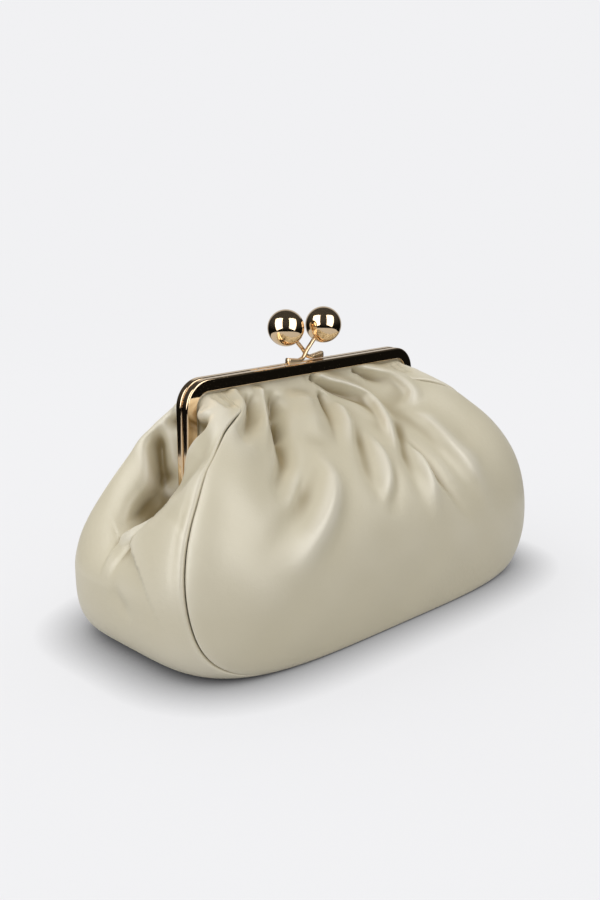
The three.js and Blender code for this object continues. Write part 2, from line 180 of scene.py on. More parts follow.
def bodyPoint(angle, down):
    # smooth body: a cubic from the lip over the shoulder to the waist oval, one on to the base oval,
    # and a straight run to the base's middle line
    b, f = bodySizes, frameSizes
    angle, down = np.broadcast_arrays(np.asarray(angle, float), np.asarray(down, float))
    end, facing, quarter = quarterOf(angle)
    isFront = facing < 0
    along, share = alongLip(quarter)
    x, z, lipEnd = lipPath(along, f["face"] + b["exit"])
    corner = np.radians(b["cornerAngle"])
    toCorner, toEnd = ease((quarter / corner - b["cornerFrom"]) / (1 - b["cornerFrom"])), ease(share)
    underLeg = ease((f["legEnd"] - b["legDrop"] - z) / b["legRun"])
    start = stack(x, b["skinOffset"] * ease((lipEnd - along) / b["hingeClose"]), z)
    besideLeg = toCorner * (1 - underLeg)
    slope = unit(stack(
        underLeg - b["legIn"] * besideLeg,
        mix(b["barOut"], b["legOut"], toCorner) * (1 - underLeg),
        toCorner - 1 - b["legDown"] * besideLeg - b["underDown"] * underLeg,
    ))
    depth = np.where(isFront, b["waistFront"], b["waistBack"])
    waistSquare = np.where(isFront, b["squareFront"], b["squareBack"])
    waistX, waistY = squareOval(quarter, b["waistHalf"], depth, waistSquare)
    baseDepth = np.where(isFront, b["baseFront"], b["baseBack"])
    square = np.where(isFront, b["baseSquareFront"], b["baseSquareBack"])
    baseX, baseY = squareOval(quarter, b["baseHalf"], baseDepth, square)
    waist, base = stack(waistX, waistY, b["waistHeight"]), stack(baseX, baseY, 0.0)
    pull = mix(b["pullPanel"], b["pullEnd"], toEnd)
    middleFull = np.where(isFront, b["shoulderFront"], b["shoulderBack"])
    seamFull = np.where(isFront, b["seamFront"], b["seamBack"])
    full = mix(mix(middleFull, seamFull, toCorner), b["shoulderEnd"], toEnd)
    high = waist + stack(0.0, 0.0, full)
    low = waist - stack(0.0, 0.0, np.full_like(full, b["tuck"]))
    under = mix(base, waist, b["baseRound"]) * np.array([1.0, 1.0, 0.0])
    overShare = np.clip(down / b["waistDown"], 0, 1)
    upper = bezier(start, start + slope * pull[..., None], high, waist, overShare)
    lowerWay = np.clip((down - b["waistDown"]) / (b["baseDown"] - b["waistDown"]), 0, 1)
    lower = bezier(waist, low, under, base, lowerWay)
    middle = stack(b["baseMiddle"] * b["baseHalf"] * np.sin(quarter), 0.0, 0.0)
    flat = mix(base, middle, np.clip((down - b["baseDown"]) / (1 - b["baseDown"]), 0, 1)[..., None])
    overWaist, overBase = (down < b["waistDown"])[..., None], (down < b["baseDown"])[..., None]
    point = np.where(overWaist, upper, np.where(overBase, lower, flat))
    return point * stack(end, facing, np.ones_like(end)) + np.array([0.0, f["back"], 0.0])


def bodyNormal(angle, down, turn=0.3, step=0.002):
    # cross product of a turn round the body and a step down it
    aside = bodyPoint(angle + turn, down) - bodyPoint(angle - turn, down)
    fall = bodyPoint(angle, down + step) - bodyPoint(angle, np.maximum(down - step, 0))
    return unit(np.cross(aside, fall))


def fold(name, path, height, width, grow, fade, sharp=2.0, lean=0.0):
    # path: places (angle round the body, share down it); height: over 0 for a ridge, under 0 for a valley;
    # width: half widths to the left and right of the path, which grow scales from start to end;
    # fade: shares of the length over which the fold rises and dies out; sharp: under 2 for a crease;
    # lean: tips the fold to the left (over 0) or right
    return dict(name=name, path=path, height=height, width=width, grow=grow, fade=fade,
                sharp=sharp, lean=lean)


panelFolds = [
    fold("ridge by the seam", [(37.5, 0), (39.5, 0.03), (39.5, 0.07), (42.5, 0.12), (47, 0.185),
         (50, 0.25)], 2.6, (2.6, 3.5), (0.9, 1.2), (0.12, 0.5)),
    fold("valley by the ridge", [(32, 0.02), (32.5, 0.065), (34, 0.115), (41.5, 0.2), (46, 0.265)], -5.2,
         (3.7, 3.7), (0.8, 1.2), (0.3, 0.5)),
    fold("ridge before the valley", [(26, 0), (27.5, 0.06), (30, 0.14), (32.5, 0.21), (36, 0.3)], 4.2,
         (4.8, 3), (0.8, 1.2), (0.12, 0.5)),
    fold("long valley", [(21, 0.02), (21.3, 0.085), (24.5, 0.185), (27.2, 0.28), (31.7, 0.36),
         (31.7, 0.425)], -8.2, (3.2, 5.2), (0.8, 1.4), (0.25, 0.6)),
    fold("dimple", [(23.2, 0.11), (24.4, 0.155), (25.6, 0.2)], -7.5, (2.6, 3.4), (1, 1), (0.5, 0.5)),
    fold("rim of the valley", [(24, 0.31), (26.5, 0.355), (28.5, 0.39), (32, 0.43)], 1.0, (3, 3), (1, 1),
         (0.4, 0.3)),
    fold("second valley", [(19, 0.28), (22.5, 0.335), (25, 0.375), (27, 0.41), (31, 0.455), (35, 0.5),
         (37, 0.56)], -3.5, (5.6, 6.0), (0.7, 1.5), (0.5, 0.65)),
    fold("long ridge", [(17, 0.25), (17, 0.31), (17.5, 0.365), (19, 0.4), (21.5, 0.44), (25, 0.485),
         (29, 0.53), (32.5, 0.575)], 5.4, (5, 6.5), (0.8, 1.2), (0.5, 0.45)),
    fold("swell", [(7, 0.045), (10.3, 0.155), (16, 0.265)], 4.2, (12, 8), (0.8, 1.1), (0.3, 0.4)),
    fold("middle crease", [(-2.2, 0.06), (-1.5, 0.105), (1, 0.16), (7, 0.255), (9, 0.33)], -5.0, (2.6, 2),
         (0.6, 2.2), (0.15, 0.85), 1.6),
    fold("middle ridge", [(-4.5, 0.115), (-4.5, 0.16), (-2, 0.215), (2, 0.27), (4.5, 0.32)], 2.8,
         (4, 3.2), (0.8, 1.2), (0.3, 0.5)),
    fold("valley beside it", [(-5.5, 0.2), (-2, 0.26), (1, 0.315), (4.5, 0.385), (5.5, 0.45), (5, 0.5)],
         -2.8, (5.4, 4.6), (0.8, 1.2), (0.35, 0.5)),
    fold("small ridge", [(-5, 0.24), (-3.5, 0.31), (-1.5, 0.37), (0.5, 0.42), (2.5, 0.46), (4.5, 0.5)],
         3.0, (6.0, 4.0), (0.8, 1.1), (0.4, 0.45)),
    fold("valley past the small ridge", [(-8, 0.35), (-1.5, 0.425), (2, 0.47), (4.5, 0.515)], -1.6,
         (3.6, 5), (0.8, 1.2), (0.4, 0.4)),
    fold("crease under the pleat", [(-0.3, 0), (-2.4, 0.02), (-5.4, 0.043), (-8.4, 0.072), (-12.2, 0.106),
         (-15.2, 0.145), (-16.2, 0.182), (-15, 0.237)], -6.0, (1.5, 1.6), (0.8, 2.2), (0.03, 0.92), 1.6),
    fold("ridge under the pleat", [(-8, 0.11), (-11.5, 0.145), (-12.5, 0.185), (-12.5, 0.23),
         (-12, 0.27)], 1.2, (4, 3.2), (0.8, 1.2), (0.4, 0.4)),
    fold("pleat", [(-1, 0), (-6.2, 0.031), (-14.2, 0.073), (-19.4, 0.12), (-19.4, 0.171), (-16, 0.232),
         (-12.7, 0.285), (-8.5, 0.37)], 5.4, (3.0, 5.4), (0.9, 1.0), (0.06, 0.2), 2.0, 0.2),
    fold("valley past the pleat", [(-20, 0.245), (-18, 0.27), (-14, 0.32), (-10, 0.38), (-8, 0.435),
         (-7.5, 0.49), (-9, 0.57)], -2.4, (4, 3.8), (0.8, 1.3), (0.3, 0.6)),
    fold("right ridge", [(-16, 0.31), (-14.5, 0.37), (-13, 0.415), (-12, 0.46), (-11, 0.5), (-10, 0.57)],
         3.0, (3.4, 4.2), (0.7, 1.3), (0.3, 0.6)),
    fold("valley beside the soft ridge", [(-16.5, 0.31), (-16, 0.34), (-15.5, 0.385), (-15.5, 0.44),
         (-17, 0.49), (-20, 0.545), (-25.5, 0.6)], -2.8, (2.6, 3.2), (0.7, 1.3), (0.3, 0.5), 1.7),
    fold("soft right ridge", [(-26.5, 0.21), (-27.5, 0.255), (-26.5, 0.31), (-25, 0.38), (-25.5, 0.445),
         (-27, 0.5), (-29, 0.6)], 5.6, (5, 15), (0.8, 1.2), (0.3, 0.4)),
    fold("far valley", [(-36, 0.18), (-31, 0.28), (-30, 0.375), (-31, 0.45), (-32, 0.54)], -0.8, (7, 9),
         (0.8, 1.2), (0.35, 0.5)),
    fold("right crease", [(-23.5, 0), (-27, 0.016), (-30.5, 0.042), (-33.5, 0.072), (-35.5, 0.105)], -6.6,
         (1.6, 1.6), (0.7, 2.2), (0.04, 0.9), 1.6),
    fold("right pleat", [(-24, 0), (-32.5, 0.025), (-38.5, 0.065), (-39.5, 0.12), (-37.5, 0.165),
         (-33, 0.195), (-28, 0.21), (-22.5, 0.22)], 4.0, (3.2, 5), (0.8, 1.1), (0.08, 0.45), 1.8, 0.1),
]

endFolds = [
    fold("bump at the corner", [(58, 0.004), (57, 0.055), (52, 0.115)], 3.4, (3.4, 3.2), (1, 1),
         (0.2, 0.45)),
    fold("pocket under it", [(64, 0.004), (61.5, 0.065), (55.5, 0.145)], -3.6, (3.2, 3.2), (1, 1),
         (0.25, 0.4)),
    fold("corner pleat", [(50, 0.004), (48.5, 0.06), (46.5, 0.12)], -1.8, (1.6, 1.6), (1, 1), (0.3, 0.3),
         1.6),
    fold("upper corner pleat", [(46, 0.004), (45, 0.06), (45.5, 0.115)], -1.4, (1.6, 1.6), (1, 1),
         (0.3, 0.3), 1.6),
]
gussetFolds = [
    fold("crest", [(47, 0.125), (58, 0.12), (66, 0.12), (72, 0.145), (77, 0.18), (81, 0.225), (84, 0.27)],
         10.0, (5, 12), (1, 1), (0.42, 0.5), 1.8),
    fold("lower crest", [(74, 0.16), (79, 0.2), (83, 0.24), (86.5, 0.29), (89.5, 0.355), (92, 0.43)], 6.5,
         (5.2, 16), (1, 2.0), (0.42, 0.4), 1.8),
    fold("swell under the crest", [(57.5, 0.25), (59, 0.33), (60, 0.42)], 2.4, (15, 5), (1, 1),
         (0.5, 0.5)),
    fold("middle of the pocket", [(92, 0.02), (92, 0.12), (92, 0.22), (91.5, 0.29), (90.5, 0.37)], -13.0,
         (11, 8), (1, 0.6), (0.3, 0.6)),
    fold("back crest", [(133, 0.2), (124, 0.2), (116, 0.21), (108, 0.24), (101, 0.29)], 3.0, (8, 6),
         (1, 1), (0.5, 0.6), 1.8),
    fold("fold beside the leg", [(126, 0.165), (118, 0.17), (112, 0.17), (106, 0.165), (100, 0.15),
         (96, 0.13)], -8.5, (5.0, 3.6), (1, 1), (0.3, 0.3)),
    fold("crease from the dent", [(112, 0.36), (101, 0.365), (93, 0.39), (86, 0.435), (76, 0.505),
         (62, 0.585)], -0.9, (4.4, 3.6), (0.8, 1.2), (0.4, 0.6), 1.8),
    fold("low crease", [(88, 0.57), (80, 0.61), (73, 0.64)], -0.9, (5, 4), (1, 1), (0.4, 0.4)),
    fold("edge of the seam allowance", [(49, 0.17), (53.5, 0.22), (57.5, 0.3), (58, 0.42), (56, 0.55),
         (51, 0.68)], -0.3, (1.6, 1.6), (1, 1), (0.2, 0.3)),
]


def turnedFolds(rows, turn):
    # the same folds a turn further round the body
    return [dict(row, path=[(angle + turn, down) for angle, down in row["path"]]) for row in rows]


def mirroredFolds(rows):
    # the same folds on the other half of an end: angles, sides and lean change over
    return [dict(row, path=[(180 - angle, down) for angle, down in row["path"]],
                 width=row["width"][::-1], lean=-row["lean"]) for row in rows]


frontFolds = panelFolds + endFolds + mirroredFolds(endFolds) + gussetFolds
bodyFolds = frontFolds + turnedFolds(frontFolds, 180)

seamShape = dict(
    wide=54.4,
    wideDown=0.31,
    pinchDown=0.13,  # the gathers pinch the seam here, and above it runs straight up to the frame
    topIn=11.0,
    topPower=1.4,
    lowFrom=0.42,
    lowIn=40.0,
    footIn=0.18,
    footPower=8,
)
panelShape = dict(
    bottom=0.838,
    sideLift=0.055,  # rise of the lower edge at the seams, as a share, and how late it sets in
    liftPower=4,
    length=110.0,  # skin from the frame to the lower edge
    wall=1.5,
    roll=2.1,  # radius at which the leather turns in to a seam
    seamGap=0.5,
    openFrom=0.14,  # above this share of its length the seam is pulled shut
    openRun=0.07,
    under=0.9,  # run of the gusset under the panel where the seam is shut
    rows=186,
    columns=196,
    endColumns=88,
    rollSteps=6,
    rowBunch=1.2,  # rows lie closer together near the frame
    shutRoll=0.3,  # share of its turn-in that the gusset's edge keeps where the seam is shut
    baseColumns=70,
    tuckRows=4,  # rows from the panels' lower edges to the flat base, and shares across the base
    baseShares=(0.4, 0.8, 1.0),
)


def smoothPath(points, count):
    # a curve through the points, each span a cubic whose slopes come from the neighbours
    p = np.asarray(points, float)
    p = np.vstack([2 * p[0] - p[1], p, 2 * p[-1] - p[-2]])
    u = np.linspace(0, len(points) - 1, count)
    i = np.minimum(u.astype(int), len(points) - 2)
    t = (u - i)[:, None]
    a, b, c, d = p[i], p[i + 1], p[i + 2], p[i + 3]
    return 0.5 * (2 * b + (c - a) * t + (2 * a - 5 * b + 4 * c - d) * t**2 + (3 * b - 3 * c + d - a) * t**3)


foldShape = dict(
    samples=72,
    reach=3.0,  # widths of a fold at which it counts as nothing
    normalTurn=5.0,  # steps for the broad normal that a fold rises along
    normalStep=0.01,
)


def foldShift(points, normals):
    # every fold lifts the skin along its normal by height times a bell of the distance to the fold's path
    shift = np.zeros_like(points)
    samples = foldShape["samples"]
    for row in bodyFolds:
        places = smoothPath(row["path"], samples)
        angle, down = places[:, 0], np.maximum(places[:, 1], 0)
        line = bodyPoint(angle, down)
        tangent = unit(np.gradient(line, axis=0))
        left = unit(np.cross(tangent, bodyNormal(angle, down)))
        spacing = np.linalg.norm(np.gradient(line, axis=0), axis=-1)
        reach = foldShape["reach"] * max(row["width"]) * max(row["grow"])
        near = np.all((points > line.min(0) - reach) & (points < line.max(0) + reach), axis=-1)
        offset = points[near][:, None, :] - line[None]
        nearest = np.argmin((offset**2).sum(-1), axis=1)
        offset = np.take_along_axis(offset, nearest[:, None, None], axis=1)[:, 0]
        forward = (offset * tangent[nearest]).sum(-1)
        across = (offset * left[nearest]).sum(-1)
        inside = (nearest > 0) & (nearest < samples - 1)
        square = (offset**2).sum(-1)
        distance = np.sqrt(np.maximum(np.where(inside, square - forward**2, square), 0))
        way = np.clip((nearest + np.clip(forward / spacing[nearest], -0.5, 0.5)) / (samples - 1), 0, 1)
        width = np.where(across > 0, *row["width"]) * mix(*row["grow"], way)
        fadeIn, fadeOut = row["fade"]
        rise = row["height"] * ease(way / fadeIn) * ease((1 - way) / fadeOut)
        rise = rise * np.exp(-((distance / width) ** row["sharp"]))
        shift[near] += rise[:, None] * (normals[near] + row["lean"] * left[nearest])
    return shift


waveShape = dict(
    seed=7,
    count=10,
    length=(26.0, 60.0),
    turn=6.28,
    height=0.11,
    quietTop=0.05,  # shares down the body where the waves set in and die out
    quietLow=0.84,
    quietRun=0.2,
)


def softWaves(points):
    # faint unevenness of soft leather: a few sine waves in seeded directions
    w = waveShape
    rng = np.random.default_rng(w["seed"])
    total = np.zeros(points.shape[:-1])
    for _ in range(w["count"]):
        direction = rng.normal(size=3)
        wave = rng.uniform(*w["length"])
        phase = rng.uniform(0, w["turn"])
        total += np.sin(points @ (direction / np.linalg.norm(direction)) * 2 * np.pi / wave + phase)
    return w["height"] * total


def seamAngle(way):
    # widest a third of the way down, drawn in to the pinch below the frame and towards the base
    s = seamShape
    down = panelShape["bottom"] * (1 - panelShape["sideLift"]) * way
    fall = np.clip((down - s["pinchDown"]) / (s["wideDown"] - s["pinchDown"]), 0, 1)
    top = s["topIn"] * (1 - fall) ** s["topPower"]
    low = s["lowIn"] * np.maximum(down - s["lowFrom"], 0) ** 2
    return (s["wide"] - top - low) * (1 - s["footIn"] * way ** s["footPower"])


def seamOpen(way):
    # 0 where the seam is pulled shut under the gathers, 1 where its groove is full
    return ease((way - panelShape["openFrom"]) / panelShape["openRun"])


def panelEdge(side):
    # the lower edge rises a little towards the seams
    return panelShape["bottom"] * (1 - panelShape["sideLift"] * np.abs(side) ** panelShape["liftPower"])


def rollIn(count):
    # a quarter circle: distance left to the seam and depth below the skin, from the skin to the seam
    turn = np.linspace(0, np.pi / 2, count + 1)[1:]
    return panelShape["roll"] * (1 - np.sin(turn)), panelShape["roll"] * (1 - np.cos(turn))


def rowPlaces():
    # shares down a panel with the turned-in lower edge, and the depth of each row
    p = panelShape
    near, depth = rollIn(p["rollSteps"])
    last = 1 - (p["roll"] + p["seamGap"] / 2) / p["length"]
    main = last * np.linspace(0, 1, p["rows"]) ** p["rowBunch"]
    edge = 1 - (near + p["seamGap"] / 2) / p["length"]
    return np.concatenate([main, edge]), np.concatenate([np.zeros(p["rows"]), depth])


def degreeSize(angle, down):
    # millimetres of skin in one degree
    return np.linalg.norm(bodyPoint(angle + 0.5, down) - bodyPoint(angle - 0.5, down), axis=-1)


def edgeColumns(count, low, high):
    # columns between two seams with both edges turned in: share across, distance to the seam, depth
    near, depth = rollIn(panelShape["rollSteps"])
    low, inner, high = np.full(len(near), low), np.linspace(low, high, count), np.full(len(near), high)
    share = np.concatenate([low, inner, high])
    gap = np.concatenate([near[::-1], np.full(count, panelShape["roll"]), near])
    sunk = np.concatenate([depth[::-1], np.zeros(count), depth])
    return share, gap + panelShape["seamGap"] / 2, sunk


channelHold = dict(
    above=8.0,  # height over a leg end at which the channel lets the leather go
    run=6.0,
    least=0.06,  # share of the tongue that is left below it
    depths=(1.0, 0.5, 0.0),  # rows of the tongue
)


def channelRows(angle):
    # the leather's edge inside the frame's channel, and where it leaves the channel
    b, f, h = bodySizes, frameSizes, channelHold
    end, facing, quarter = quarterOf(angle)
    along, _ = alongLip(quarter)
    _, height, lipEnd = lipPath(along, f["face"])
    held = 1 - ease((f["legEnd"] + h["above"] - height) / h["run"])
    rows = []
    for depth in h["depths"]:
        inset = f["face"] - depth * b["tongue"]
        x, z, _ = lipPath(along, mix(f["face"] + b["exit"], inset, mix(h["least"], 1.0, held)))
        y = b["skinOffset"] * ease((lipEnd - along) / b["hingeClose"])
        rows.append(stack(x * end, y * facing + f["back"], z))
    return np.stack(rows)


def leatherSkin(angle, down, depth):
    # smooth body plus folds and faint waves, less the depth of the turned-in edges
    w = waveShape
    points, normals = bodyPoint(angle, down), bodyNormal(angle, down)
    broad = bodyNormal(angle, down, foldShape["normalTurn"], foldShape["normalStep"])
    shift = foldShift(points.reshape(-1, 3), broad.reshape(-1, 3)).reshape(points.shape)
    quiet = ease(down / w["quietTop"]) * ease((w["quietLow"] - down) / w["quietRun"])
    return points + shift + normals * (softWaves(points) * quiet - depth)[..., None]


cavityShape = dict(
    rows=13,  # steps of the grid that are taken in
    columns=7,
    full=2.4,  # depth that counts as full
)


def gridCavity(grid):
    # how far each point lies under the mean of its surroundings, along the normal:
    # plus in creases, minus on ridges
    c = cavityShape
    mean = grid
    for axis, reach in ((0, c["rows"]), (1, c["columns"])):
        pad = [(reach, reach) if i == axis else (0, 0) for i in range(3)]
        total = np.cumsum(np.pad(mean, pad, mode="edge"), axis=axis)
        count = mean.shape[axis]
        last = np.take(total, np.arange(count) + 2 * reach, axis=axis)
        first = np.take(total, np.arange(count), axis=axis)
        mean = (last - first) / (2 * reach)
    normal = unit(np.cross(np.gradient(grid, axis=1), np.gradient(grid, axis=0)))
    return np.clip(((mean - grid) * normal).sum(-1) / c["full"], -1, 1)


def gridFaces(rows, columns, first=0):
    # quads of a grid, wound so that they face outwards
    r, c = np.meshgrid(np.arange(rows - 1), np.arange(columns - 1), indexing="ij")
    a = first + r * columns + c
    return np.stack([a, a + 1, a + columns + 1, a + columns], axis=-1).reshape(-1, 4)


def panelSkin(turned):
    # columns from the right seam to the left one, rows from the channel to the turned-in lower edge
    way, rowDepth = rowPlaces()
    way = way[:, None]
    share, gap, sunk = edgeColumns(panelShape["columns"], -1.0, 1.0)
    edge = seamAngle(way)
    size = degreeSize(edge + turned, panelEdge(1.0) * way)
    inner = panelShape["roll"] + panelShape["seamGap"] / 2
    local = share * (edge - np.where(np.abs(share) == 1, gap, inner) / size)
    down = panelEdge(local / edge) * way
    depth = np.maximum(sunk[None, :] * seamOpen(way), rowDepth[:, None])
    skin = leatherSkin(local + turned, down, depth)
    return np.concatenate([channelRows(local[0] + turned), skin])


def gussetSkins():
    # two ends between the seams, and the base: rings from the panels' lower edges to the middle line
    p = panelShape
    way, _ = rowPlaces()
    way = way[:, None]
    edge = seamAngle(way)
    parts = []
    rings = []
    for turned in (0.0, 180.0):
        share, gap, sunk = edgeColumns(p["endColumns"], 0.0, 1.0)
        nearSize = degreeSize(edge + turned, panelEdge(1.0) * way)
        farSize = degreeSize(180 - edge + turned, panelEdge(1.0) * way)
        near = np.where((share == 0) | (share == 1), gap, p["roll"] + p["seamGap"] / 2)
        near = near - p["under"] * (1 - seamOpen(way))
        low, high = edge + near / nearSize, 180 - edge - near / farSize
        local = mix(low, high, share)
        down = panelEdge(1.0) * way + 0 * local
        depth = sunk[None, :] * mix(p["shutRoll"], 1.0, seamOpen(way)) + 0 * local
        skin = leatherSkin(local + turned, down, depth)
        parts.append(np.concatenate([channelRows(local[0] + turned), skin]))
        acrossPanel = np.linspace(-1, 1, p["baseColumns"])[1:-1]
        panelAngle = acrossPanel * edge[-1]
        panelDown = panelEdge(acrossPanel) + p["seamGap"] / p["length"]
        rings.append((panelAngle + turned, panelDown, np.full(len(acrossPanel), p["roll"]), None))
        rings.append((local[-1] + turned, down[-1], sunk, skin[-1]))
    angle = np.concatenate([ring[0] for ring in rings])
    start = np.concatenate([ring[1] for ring in rings])
    depth = np.concatenate([ring[2] for ring in rings])
    first = bodyPoint(angle, start) - bodyNormal(angle, start) * depth[:, None]
    place = 0
    for ringAngle, _, _, known in rings:
        if known is not None:
            first[place:place + len(ringAngle)] = known
        place += len(ringAngle)
    rows = [first]
    for share in np.linspace(0, 1, p["tuckRows"] + 1)[1:]:
        rows.append(bodyPoint(angle, mix(start, bodySizes["baseDown"], share)))
    for share in p["baseShares"]:
        rows.append(bodyPoint(angle, mix(bodySizes["baseDown"], 1.0, share) + 0 * angle))
    base = np.stack(rows)
    parts.append(np.concatenate([base, base[:, :1]], axis=1))
    return parts


def weld(points, faces):
    # corners that lie at one place become one, and faces that lose an edge keep three corners or go
    keys = np.round(points / weldGap).astype(np.int64)
    _, keep, index = np.unique(keys, axis=0, return_index=True, return_inverse=True)
    faces = index.reshape(-1)[faces]
    rolled = np.roll(faces, -1, axis=1)
    doubled = (faces == rolled).sum(1)
    quads = faces[doubled == 0]
    slim, same = faces[doubled == 1], (faces == rolled)[doubled == 1]
    triangles = slim[~same].reshape(-1, 3)
    return points[keep], quads, triangles, keep


def addPiece(name, points, faces, material, node, cavity=None):
    # mesh in metres at the origin, smooth, riding on the one body and standing for its node
    mesh = bpy.data.meshes.new(name)
    mesh.from_pydata((points * mm).tolist(), [], faces)
    mesh.polygons.foreach_set("use_smooth", np.ones(len(mesh.polygons), bool))
    mesh.materials.append(material)
    if cavity is not None:
        # the cavity drives painted shade in creases and a painted highlight on ridges in the leather's
        # colour
        layer = mesh.attributes.new("cavity", "FLOAT", "POINT")
        layer.data.foreach_set("value", cavity.astype(np.float32))
    mesh.update()
    piece = bpy.data.objects.new(name, mesh)
    bpy.context.scene.collection.objects.link(piece)
    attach(piece, "root")
    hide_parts(node)
    return piece


def addWall(piece):
    # the skin gets its thickness inwards
    solidify = piece.modifiers.new("wall", "SOLIDIFY")
    solidify.thickness = panelShape["wall"] * mm
    solidify.offset = -1.0


def newMaterial(name):
    # a material with its node tree and its shader
    material = bpy.data.materials.new(name)
    material.use_nodes = True
    return material, material.node_tree, material.node_tree.nodes["Principled BSDF"]


def addNode(tree, kind, inputs=(), **settings):
    # a node with its settings; each input is a socket with a value, or with the output that feeds it
    node = tree.nodes.new("ShaderNode" + kind)
    for key, value in settings.items():
        setattr(node, key, value)
    for socket, value in inputs:
        if isinstance(value, bpy.types.NodeSocket):
            tree.links.new(value, node.inputs[socket])
        else:
            node.inputs[socket].default_value = value
    return node


def mixColours(tree, share, first, second):
    # the first colour, and the second one by its share
    return addNode(tree, "Mix", [(0, share), (6, first), (7, second)], data_type="RGBA").outputs[2]


def mapRange(tree, value, fromRange=(0, 1), toRange=(0, 1), smooth=False):
    # the value carried from one range to another, in a straight line or eased at both ends
    ends = zip(("From Min", "From Max", "To Min", "To Max"), (*fromRange, *toRange))
    way = "SMOOTHSTEP" if smooth else "LINEAR"
    return addNode(tree, "MapRange", [("Value", value), *ends], interpolation_type=way).outputs["Result"]


def noise(tree, place, scale, detail):
    # cloudy noise, its scale in patches to a metre
    inputs = [("Vector", place), ("Scale", scale), ("Detail", detail)]
    return addNode(tree, "TexNoise", inputs).outputs["Fac"]


def reckon(tree, operation, *values):
    # one operation on the values in turn
    return addNode(tree, "Math", enumerate(values), operation=operation).outputs["Value"]


leatherFinish = dict(
    light=(0.59, 0.535, 0.39),
    deep=(0.55, 0.495, 0.355),
    crease=(0.29, 0.225, 0.11),  # painted shade deep in the gathers, and a painted highlight on their crests
    ridge=(0.665, 0.615, 0.49),
    roughness=(0.36, 0.44),
    gloss={"Specular IOR Level": 0.75, "Coat Weight": 0.18, "Coat Roughness": 0.3,
           "Sheen Weight": 0.08, "Sheen Roughness": 0.5},
    wrinkle=380.0,
    wrinkleDepth=0.0004,
    wrinkleStrength=0.25,
    wrinkleDetail=5.0,
    grain=1500.0,  # pores in a metre
    grainDepth=0.00012,
    grainStrength=0.35,
    poreShare=0.6,
    fine=1.7,  # scale of the fine noise against the pores
    fineDetail=3.0,
    cloud=22.0,
    cloudDetail=4.0,
)


def leatherMaterial():
    # two tones drift in a soft cloud; painted shade darkens the creases and a painted highlight
    # pales the ridges, by the cavity attribute; fine noise gives the roughness, and pores over small
    # wrinkles the bump
    look = leatherFinish
    material, tree, shader = newMaterial("nappaLeather")
    for socket, value in look["gloss"].items():
        shader.inputs[socket].default_value = value
    place = addNode(tree, "TexCoord").outputs["Object"]
    cloud = noise(tree, place, look["cloud"], look["cloudDetail"])
    colour = mixColours(tree, cloud, (*look["deep"], 1), (*look["light"], 1))
    cavity = addNode(tree, "Attribute", attribute_name="cavity").outputs["Fac"]
    # painted shade where the cavity is deep, and a painted highlight where the ridges stand out
    for end, shade in ((1, look["crease"]), (-1, look["ridge"])):
        colour = mixColours(tree, mapRange(tree, cavity, (0, end), smooth=True), colour, (*shade, 1))
    tree.links.new(colour, shader.inputs["Base Color"])
    cells = [("Vector", place), ("Scale", look["grain"])]
    pores = addNode(tree, "TexVoronoi", cells, feature="DISTANCE_TO_EDGE")
    fine = noise(tree, place, look["grain"] * look["fine"], look["fineDetail"])
    tree.links.new(mapRange(tree, fine, toRange=look["roughness"]), shader.inputs["Roughness"])
    wrinkles = noise(tree, place, look["wrinkle"], look["wrinkleDetail"])
    crumple = addNode(tree, "Bump", [("Strength", look["wrinkleStrength"]), ("Height", wrinkles),
                                     ("Distance", look["wrinkleDepth"])])
    grain = reckon(tree, "MULTIPLY_ADD", pores.outputs["Distance"], look["poreShare"], fine)
    bump = addNode(tree, "Bump", [("Strength", look["grainStrength"]), ("Height", grain),
                                  ("Distance", look["grainDepth"]), ("Normal", crumple.outputs["Normal"])])
    tree.links.new(bump.outputs["Normal"], shader.inputs["Normal"])
    return material


giltFinish = dict(
    colour=(0.89, 0.67, 0.43),
    dull=0.97,  # share of the colour in the haze
    polished=(0.045, 0.085),
    brushed=(0.3, 0.38),
    haze=260.0,
    hazeDetail=3.0,
)


def giltMaterial(name, roughness):
    # plated metal: a faint haze of noise over the roughness and the colour
    look = giltFinish
    material, tree, shader = newMaterial(name)
    shader.inputs["Metallic"].default_value = 1.0
    place = addNode(tree, "TexCoord").outputs["Object"]
    haze = noise(tree, place, look["haze"], look["hazeDetail"])
    tree.links.new(mapRange(tree, haze, toRange=roughness), shader.inputs["Roughness"])
    dull = [look["dull"] * c for c in look["colour"]]
    tree.links.new(mixColours(tree, haze, (*dull, 1), (*look["colour"], 1)), shader.inputs["Base Color"])
    return material


leather = leatherMaterial()
gilt = giltMaterial("giltPlate", giltFinish["polished"])
satinGilt = giltMaterial("satinGilt", giltFinish["brushed"])

panelPlaces = (("front_panel", 0.0, "frame_front"), ("back_panel", 180.0, "frame_back"))
for panelName, turned, frameName in panelPlaces:
    skin = panelSkin(turned)
    faces = gridFaces(*skin.shape[:2])
    piece = addPiece(panelName + "_leather", skin.reshape(-1, 3), faces.tolist(), leather,
                     panelName, gridCavity(skin).reshape(-1))
    addWall(piece)
print("panels made")

skinParts = gussetSkins()
gussetPoints = np.concatenate([part.reshape(-1, 3) for part in skinParts])
gussetFaces = []
firstCorner = 0
for part in skinParts:
    gussetFaces.append(gridFaces(*part.shape[:2], first=firstCorner))
    firstCorner += part.shape[0] * part.shape[1]
gussetCavity = np.concatenate([gridCavity(part).reshape(-1) for part in skinParts])
gussetPoints, gussetQuads, gussetTriangles, kept = weld(gussetPoints, np.concatenate(gussetFaces))
gusset = addPiece("gusset_band_leather", gussetPoints, gussetQuads.tolist() + gussetTriangles.tolist(),
                  leather, "gusset_band", gussetCavity[kept])
addWall(gusset)
print("gusset made")


def roundCorner(centre, radius, start, end, steps):
    # arc of a section: centre plus radius times cosine and sine
    turn = np.radians(np.linspace(start, end, steps + 1))
    return np.stack([centre[0] + radius * np.cos(turn), centre[1] + radius * np.sin(turn)], axis=-1)


